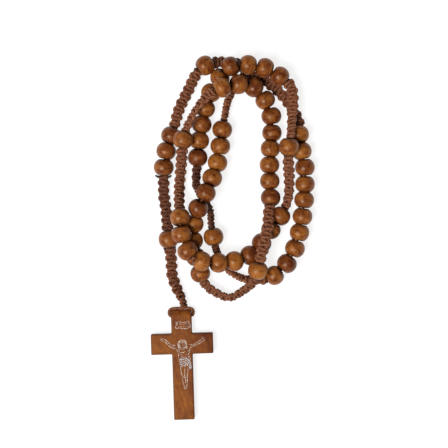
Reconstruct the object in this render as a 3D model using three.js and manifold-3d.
// A five-decade rosary of turned wooden beads on a knotted cord, lying in a loose heap on a table with
// its wooden cross flat on its back. Millimetres, +Z up, +Y from the cross towards the far end of the
// heap. The origin is on the table, under the middle of the beads and cross.

import * as THREE from "three";
import { mergeVertices } from "three/addons/utils/BufferGeometryUtils.js";
import Module from "manifold-3d";

const wasm = await Module();
wasm.setup();

// ---------------------------------------------------------------- driving dimensions

const BEAD_DIAMETER = 8;
const BEAD_LENGTH = 6.2;
const BEAD_END_DIAMETER = 3.6; // the flat ring round each end of the bore
const BORE_DIAMETER = 2.5;
const CORE_DIAMETER = 1; // the cord that the beads are strung on
const KNOT_DIAMETER = 3.6; // a row of knots tied round the core
const JOINING_KNOT_DIAMETER = 4.4; // where the pendant and both ends of the loop meet
const CLEARANCE = 0.3; // between neighbouring pieces

const CROSS_SPAN = 25.5;
const CROSS_WIDTH = 8.4; // of the upright and of the crossbar
const CROSS_THICKNESS = 4.5;
const CROSS_TOP = CROSS_THICKNESS / 2; // the head is rounded about its bore, so that it can turn
const CROSSBAR_MIDDLE = -11.6; // from the bore
const CROSS_FOOT = -42.7; // from the bore
const CROSS_CHAMFER = 0.4;
const CROSS_PLACE = new THREE.Vector3(-21.3, -31.8, CROSS_THICKNESS / 2); // its bore
const CROSS_TURN = THREE.MathUtils.degToRad(1.8);

const BEAD_SIDES = 20;
const BEAD_ARC_STEPS = 4;
const HEAD_STEPS = 8; // round the head of the cross
const CORD_SIDES = 8;
const CORE_STEP = 3;
const KNOT_STEP = 5;
const CROSS_LOOP_STEPS = 34;

const BEAD_COLOUR = 0xa8692c;
const CROSS_COLOUR = 0x9c5a24;
const CORD_COLOUR = 0x82553c;

// ---------------------------------------------------------------- the route of the cord

// The pendant runs from the cross to the joining knot, and the loop runs from that knot round the five
// decades and back to it. Each stretch lists points on the cord's centre line. A stretch with beads
// starts at the middle of its first bead and ends at the middle of its last one.
const knots = (...points) => ({ beads: [], points });
const beads = (names, ...points) => ({ beads: names, points });

const JOINING_KNOT = [5.5, 67.5, 2.2];

const PENDANT = [
  knots([-20.05, -28.75, 2.2], [-20.8, -25.5, 2.1], [-23, -21, 2], [-25, -15.5, 2], [-25.5, -8.5, 2.1]),
  beads(["our_father_bead_1"], [-26.5, -0.5, 4.3]),
  knots([-27, 4.5, 3.2], [-27.5, 10.5, 2], [-28.5, 18, 2], [-28.5, 24, 3.2]),
  beads(numbered("pendant_bead", 3), [-28.5, 29, 4.2], [-27.5, 35.5, 4], [-25.5, 42, 4.2]),
  knots([-24, 46.5, 3.2], [-22, 53.5, 2], [-18.5, 60.5, 2.2], [-15.5, 66.3, 5.3]),
  beads(["our_father_bead_2"], [-11.5, 70.7, 6.6]),
  knots([-6.6, 72, 4.4], [-2, 72.2, 2], [3, 71, 2], JOINING_KNOT),
];

const LOOP = [
  knots(JOINING_KNOT, [3, 64, 2], [-0.5, 60, 2], [-2.5, 55, 2], [-3.5, 49.5, 3]),
  beads(
    numbered("decade_1_bead", 10),
    [-4.5, 44.5, 4.2],
    [-6, 32, 4],
    [-8, 26, 5.3],
    [-10.5, 19.5, 7.6],
    [-13.5, 14, 7.6],
    [-16, 7, 4.8],
    [-16.5, 0, 4],
    [-13.5, -14.5, 4.2],
  ),
  knots([-11, -19.5, 2.4], [-7, -22.5, 2], [-1.5, -24.5, 2], [3, -22.5, 2.5], [9, -17, 7.4]),
  beads(["our_father_bead_3"], [10, -13.1, 9]),
  knots([11, -8.5, 9.8], [12.5, -2.5, 10.3], [14, 4, 9.9], [14.5, 10.5, 7]),
  beads(
    numbered("decade_2_bead", 10),
    [15.5, 16.5, 4.3],
    [15, 23, 4],
    [15, 33, 4],
    [16, 49, 4],
    [13.5, 56, 4.4],
    [9, 61.5, 6.2],
    [2, 62.5, 9.6],
    [-4.5, 61, 11.3],
  ),
  knots([-10, 57.8, 10.4], [-14.5, 53, 9.8], [-18.3, 46, 9.6]),
  beads(["our_father_bead_4"], [-20.5, 40, 10]),
  knots([-20.8, 35, 8.6], [-21.4, 28.5, 4.4], [-22, 21.5, 3], [-22, 15, 6.5]),
  beads(
    numbered("decade_3_bead", 10),
    [-21.5, 8.5, 10.5],
    [-21, 1, 10.8],
    [-18.5, -5.5, 11.5],
    [-12.5, -9.6, 11.5],
    [-5, -10, 9],
    [2.5, -9, 6.5],
    [8, -6.5, 4.5],
    [15.5, 3.5, 4],
    [19.5, 9, 4.2],
  ),
  knots([22, 14, 2.8], [23, 19.5, 2], [23, 24.5, 3.6], [22.5, 30.5, 7.6]),
  beads(["our_father_bead_5"], [22.5, 37, 9.9]),
  knots([23.5, 43, 9.2], [24, 49.5, 7], [24.5, 56.5, 5.7], [23.5, 62, 5.8]),
  beads(
    numbered("decade_4_bead", 10),
    [19, 66, 6.5],
    [13, 69.5, 6.8],
    [6.5, 70.5, 7.7],
    [-1.5, 70, 8.2],
    [-6, 64.6, 4],
    [-9.5, 59, 4],
    [-13, 46, 4],
    [-14.5, 33, 4.2],
  ),
  knots([-15, 27, 2.2], [-15, 21.5, 2], [-12.5, 16.5, 2], [-9.5, 11.5, 2], [-9, 5.5, 3.2]),
  beads(["our_father_bead_6"], [-8, 0.5, 4.4]),
  knots([-7, -4.5, 2.8], [-4.5, -10, 2], [-1, -14, 2], [5.5, -17, 2], [12.5, -17, 2.8]),
  beads(
    numbered("decade_5_bead", 10),
    [17, -15.5, 4.3],
    [22.5, -10, 4],
    [25.5, -4, 4],
    [28.5, 9, 4],
    [29.5, 22.5, 4],
    [29.5, 29.5, 4],
    [28, 36, 4],
    [27, 42.5, 4.2],
  ),
  knots([27, 47.5, 2.6], [23.5, 54.5, 2], [18.5, 60.5, 2], [12.5, 65, 2], JOINING_KNOT),
];

// The two beads that share one node, because a part holds at most 60 of them.
const JOINED_PAIR = ["decade_5_bead_06", "decade_5_bead_07"];
const JOINED_NAME = "decade_5_bead_06_and_07";

// The loop of the core through the bore of the cross, in the cross's own frame: its two ends cross
// inside the first knot above the head.
const CROSS_LOOP = [
  [2.2, 3.25],
  [0, 3.05],
  [-3.7, 3],
  [-4.9, 2.5],
  [-5.35, 1.2],
  [-4.85, 0],
  [-3.4, -0.2],
  [3.4, -0.2],
  [4.85, 0],
  [5.35, 1.2],
  [4.9, 2.5],
  [3.7, 3],
  [0.6, 3.25],
];

function numbered(name, count) {
  const width = String(count).length;
  return Array.from({ length: count }, (_, i) => `${name}_${String(i + 1).padStart(width, "0")}`);
}

// ---------------------------------------------------------------- curves

const SAMPLES_PER_POINT = 16;

// One smooth curve through every stretch, with the distances along it of each stretch's two end points.
function makeRoute(stretches) {
  const points = stretches.flatMap((stretch) => stretch.points.map((point) => new THREE.Vector3(...point)));
  const curve = new THREE.CatmullRomCurve3(points, false, "centripetal");
  curve.arcLengthDivisions = (points.length - 1) * SAMPLES_PER_POINT;
  const lengths = curve.getLengths();
  const length = lengths.at(-1);
  let passed = 0;
  const spans = stretches.map((stretch) => {
    const from = lengths[passed * SAMPLES_PER_POINT];
    passed += stretch.points.length;
    return [from, lengths[(passed - 1) * SAMPLES_PER_POINT]];
  });
  const share = (distance) => THREE.MathUtils.clamp(distance / length, 0, 1);
  const pointAt = (distance) => curve.getPointAt(share(distance));
  const directionAt = (distance) => curve.getTangentAt(share(distance));
  return { curve, length, spans, pointAt, directionAt };
}

// The part of a route between two distances, as a curve of its own.
class Stretch extends THREE.Curve {
  constructor(route, from, to) {
    super();
    this.route = route;
    this.from = from;
    this.to = to;
  }

  getPoint(t, target = new THREE.Vector3()) {
    return target.copy(this.route.pointAt(THREE.MathUtils.lerp(this.from, this.to, t)));
  }
}

// ---------------------------------------------------------------- placing the beads

const SPACING_ROUNDS = 4;

function axisAt(route, distance) {
  const ahead = route.pointAt(distance + BEAD_LENGTH / 2);
  return ahead.sub(route.pointAt(distance - BEAD_LENGTH / 2)).normalize();
}

// How far apart two beads have to be so that their end rings clear each other where the cord bends.
function roomBetween(route, first, second) {
  const half = axisAt(route, first).angleTo(axisAt(route, second)) / 2;
  const reach = (BEAD_LENGTH * Math.cos(half) + BEAD_END_DIAMETER * Math.sin(half)) / 2;
  return 2 * reach + CLEARANCE;
}

// The distances of a stretch's beads along the route: each gap has its share of the whole stretch.
function beadDistances(route, [from, to], count) {
  const even = (to - from) / Math.max(count - 1, 1);
  let distances = Array.from({ length: count }, (_, i) => from + even * i);
  for (let round = 0; round < SPACING_ROUNDS; round++) {
    const rooms = distances.slice(1).map((d, i) => roomBetween(route, distances[i], d));
    const share = (to - from) / rooms.reduce((a, b) => a + b, 0);
    distances = rooms.reduce((list, room) => [...list, list.at(-1) + room * share], [from]);
  }
  return distances;
}

// A bead's middle lies between the cord's own point and the chord of its bore, so that the core stays
// clear of the bore's wall on a bend.
function beadPlace(route, distance, length = BEAD_LENGTH) {
  const entry = route.pointAt(distance - length / 2);
  const exit = route.pointAt(distance + length / 2);
  const axis = exit.clone().sub(entry).normalize();
  const chordMiddle = entry.add(exit).multiplyScalar(0.5);
  return { middle: route.pointAt(distance).lerp(chordMiddle, 0.5), axis };
}

// ---------------------------------------------------------------- solids

const MERGE_DISTANCE = 1e-4;
const SLIVER = 0.01; // detail smaller than this is left out of a joined solid

function solidOf(geometry) {
  const plain = geometry.clone();
  plain.deleteAttribute("normal");
  plain.deleteAttribute("uv");
  const merged = mergeVertices(plain, MERGE_DISTANCE);
  const vertProperties = merged.getAttribute("position").array;
  const triVerts = new Uint32Array(merged.index.array);
  return new wasm.Manifold(new wasm.Mesh({ numProp: 3, vertProperties, triVerts }));
}

function geometryOf(solid) {
  const { vertProperties, triVerts } = solid.simplify(SLIVER).getMesh();
  const geometry = new THREE.BufferGeometry();
  geometry.setAttribute("position", new THREE.BufferAttribute(vertProperties, 3));
  geometry.setIndex(new THREE.BufferAttribute(triVerts, 1));
  geometry.computeVertexNormals();
  return geometry;
}

function tube(curve, diameter, steps) {
  const section = new THREE.Shape().absarc(0, 0, diameter / 2, 0, 2 * Math.PI);
  return new THREE.ExtrudeGeometry(section, { steps, extrudePath: curve, curveSegments: CORD_SIDES / 2 });
}

// ---------------------------------------------------------------- beads

// A barrel's outline from one end ring to the other: part of an ellipse, as [radius, height].
function barrelArc(middle) {
  const end = Math.acos(BEAD_END_DIAMETER / BEAD_DIAMETER);
  const halfHeight = BEAD_LENGTH / 2 / Math.sin(end);
  return Array.from({ length: BEAD_ARC_STEPS + 1 }, (_, i) => {
    const angle = THREE.MathUtils.lerp(-end, end, i / BEAD_ARC_STEPS);
    return [(BEAD_DIAMETER / 2) * Math.cos(angle), middle + halfHeight * Math.sin(angle)];
  });
}

// One turned piece of one or two barrels with a bore right through it.
function beadGeometry(barrels) {
  const halfLength = (barrels * BEAD_LENGTH) / 2;
  const arcs = Array.from({ length: barrels }, (_, i) => barrelArc(-halfLength + BEAD_LENGTH * (i + 0.5)));
  const outside = arcs.flatMap((arc, i) => (i === 0 ? arc : arc.slice(1)));
  const bore = BORE_DIAMETER / 2;
  const profile = [[bore, -halfLength], ...outside, [bore, halfLength], [bore, -halfLength]];
  return new THREE.LatheGeometry(profile.map(([x, y]) => new THREE.Vector2(x, y)), BEAD_SIDES);
}

const BEAD = beadGeometry(1);
const BEAD_PAIR = beadGeometry(2);

function woodMaterial(colour) {
  return new THREE.MeshStandardMaterial({ color: colour, roughness: 0.35, metalness: 0 });
}

function makeBead(name, geometry, { middle, axis }) {
  const bead = new THREE.Mesh(geometry, woodMaterial(BEAD_COLOUR));
  bead.name = name;
  bead.position.copy(middle);
  bead.quaternion.setFromUnitVectors(new THREE.Vector3(0, 1, 0), axis);
  return bead;
}

// ---------------------------------------------------------------- the cross

function crossOutline() {
  const side = CROSS_WIDTH / 2 - CROSS_CHAMFER;
  const tip = CROSS_SPAN / 2 - CROSS_CHAMFER;
  const barTop = CROSSBAR_MIDDLE + side;
  const barBottom = CROSSBAR_MIDDLE - side;
  const foot = CROSS_FOOT + CROSS_CHAMFER;
  const half = [
    [side, CROSS_TOP],
    [side, barTop],
    [tip, barTop],
    [tip, barBottom],
    [side, barBottom],
    [side, foot],
  ];
  const otherHalf = half.map(([x, y]) => [-x, y]).reverse();
  return new THREE.Shape([...half, ...otherHalf].map(([x, y]) => new THREE.Vector2(x, y)));
}

// The cross from the side: straight, with its head rounded about the bore.
function crossSide() {
  const half = CROSS_THICKNESS / 2;
  const side = new THREE.Shape();
  side.moveTo(-half, CROSS_FOOT - CROSS_CHAMFER);
  side.lineTo(half, CROSS_FOOT - CROSS_CHAMFER);
  side.absarc(0, 0, half, 0, Math.PI);
  return side;
}

function makeCross() {
  const plate = new THREE.ExtrudeGeometry(crossOutline(), {
    depth: CROSS_THICKNESS - 2 * CROSS_CHAMFER,
    bevelThickness: CROSS_CHAMFER,
    bevelSize: CROSS_CHAMFER,
    bevelSegments: 1,
  });
  plate.translate(0, 0, CROSS_CHAMFER - CROSS_THICKNESS / 2);
  const sideways = new THREE.ExtrudeGeometry(crossSide(), {
    depth: CROSS_SPAN,
    bevelEnabled: false,
    curveSegments: HEAD_STEPS,
  });
  sideways.translate(0, 0, -CROSS_SPAN / 2).rotateY(Math.PI / 2);
  const bore = new THREE.CylinderGeometry(BORE_DIAMETER / 2, BORE_DIAMETER / 2, CROSS_SPAN, BEAD_SIDES);
  bore.rotateZ(Math.PI / 2);
  const solid = solidOf(plate).intersect(solidOf(sideways)).subtract(solidOf(bore));
  const cross = new THREE.Mesh(geometryOf(solid), woodMaterial(CROSS_COLOUR));
  cross.name = "cross";
  cross.position.copy(CROSS_PLACE);
  cross.rotation.z = CROSS_TURN;
  return cross;
}

// ---------------------------------------------------------------- the cord

// Where a row of knots may start after a bead (side 1) or has to end before it (side -1): its flat end
// stands a little further off where the cord bends.
function knotLimit(route, bead, side) {
  const beadEnd = BEAD_LENGTH / 2 + CLEARANCE;
  const bend = beadPlace(route, bead).axis.angleTo(route.directionAt(bead + side * beadEnd));
  return bead + side * (beadEnd + (KNOT_DIAMETER / 2) * Math.sin(bend));
}

// The stretches of knots along a route, from the end of one bead to the start of the next.
function knotTubes({ route, stretches, distances }) {
  return stretches.flatMap((stretch, i) => {
    if (stretch.beads.length > 0) return [];
    const from = i === 0 ? 0 : knotLimit(route, distances[i - 1].at(-1), 1);
    const to = i === stretches.length - 1 ? route.length : knotLimit(route, distances[i + 1][0], -1);
    const steps = Math.ceil((to - from) / KNOT_STEP);
    return [tube(new Stretch(route, from, to), KNOT_DIAMETER, steps)];
  });
}

function makeCord(cross, lines) {
  cross.updateMatrixWorld();
  const loopPoints = CROSS_LOOP.map(([x, y]) => new THREE.Vector3(x, y, 0).applyMatrix4(cross.matrixWorld));
  const crossLoop = new THREE.CatmullRomCurve3(loopPoints, false, "centripetal");
  const joiningKnot = new THREE.SphereGeometry(JOINING_KNOT_DIAMETER / 2, CORD_SIDES, CORD_SIDES / 2);
  joiningKnot.translate(...JOINING_KNOT);
  const pieces = [tube(crossLoop, CORE_DIAMETER, CROSS_LOOP_STEPS), joiningKnot];
  for (const line of lines) {
    pieces.push(tube(line.route.curve, CORE_DIAMETER, Math.round(line.route.length / CORE_STEP)));
    pieces.push(...knotTubes(line));
  }
  const solid = pieces.map(solidOf).reduce((whole, piece) => whole.add(piece));
  const material = new THREE.MeshStandardMaterial({ color: CORD_COLOUR, roughness: 0.8, metalness: 0 });
  const cord = new THREE.Mesh(geometryOf(solid), material);
  cord.name = "cord";
  return cord;
}

// ---------------------------------------------------------------- the whole rosary

function layLine(stretches) {
  const route = makeRoute(stretches);
  const distances = stretches.map((stretch, i) => {
    return stretch.beads.length > 0 ? beadDistances(route, route.spans[i], stretch.beads.length) : [];
  });
  return { route, stretches, distances };
}

function makeBeads({ route, stretches, distances }) {
  const places = new Map();
  stretches.forEach((stretch, i) => stretch.beads.forEach((name, j) => places.set(name, distances[i][j])));
  const meshes = [];
  if (JOINED_PAIR.every((name) => places.has(name))) {
    const middle = (places.get(JOINED_PAIR[0]) + places.get(JOINED_PAIR[1])) / 2;
    meshes.push(makeBead(JOINED_NAME, BEAD_PAIR, beadPlace(route, middle, 2 * BEAD_LENGTH)));
    JOINED_PAIR.forEach((name) => places.delete(name));
  }
  places.forEach((distance, name) => meshes.push(makeBead(name, BEAD, beadPlace(route, distance))));
  return meshes;
}

const rosary = new THREE.Group();
const lines = [layLine(PENDANT), layLine(LOOP)];
const cross = makeCross();
rosary.add(cross, makeCord(cross, lines), ...lines.flatMap(makeBeads));

export default rosary;
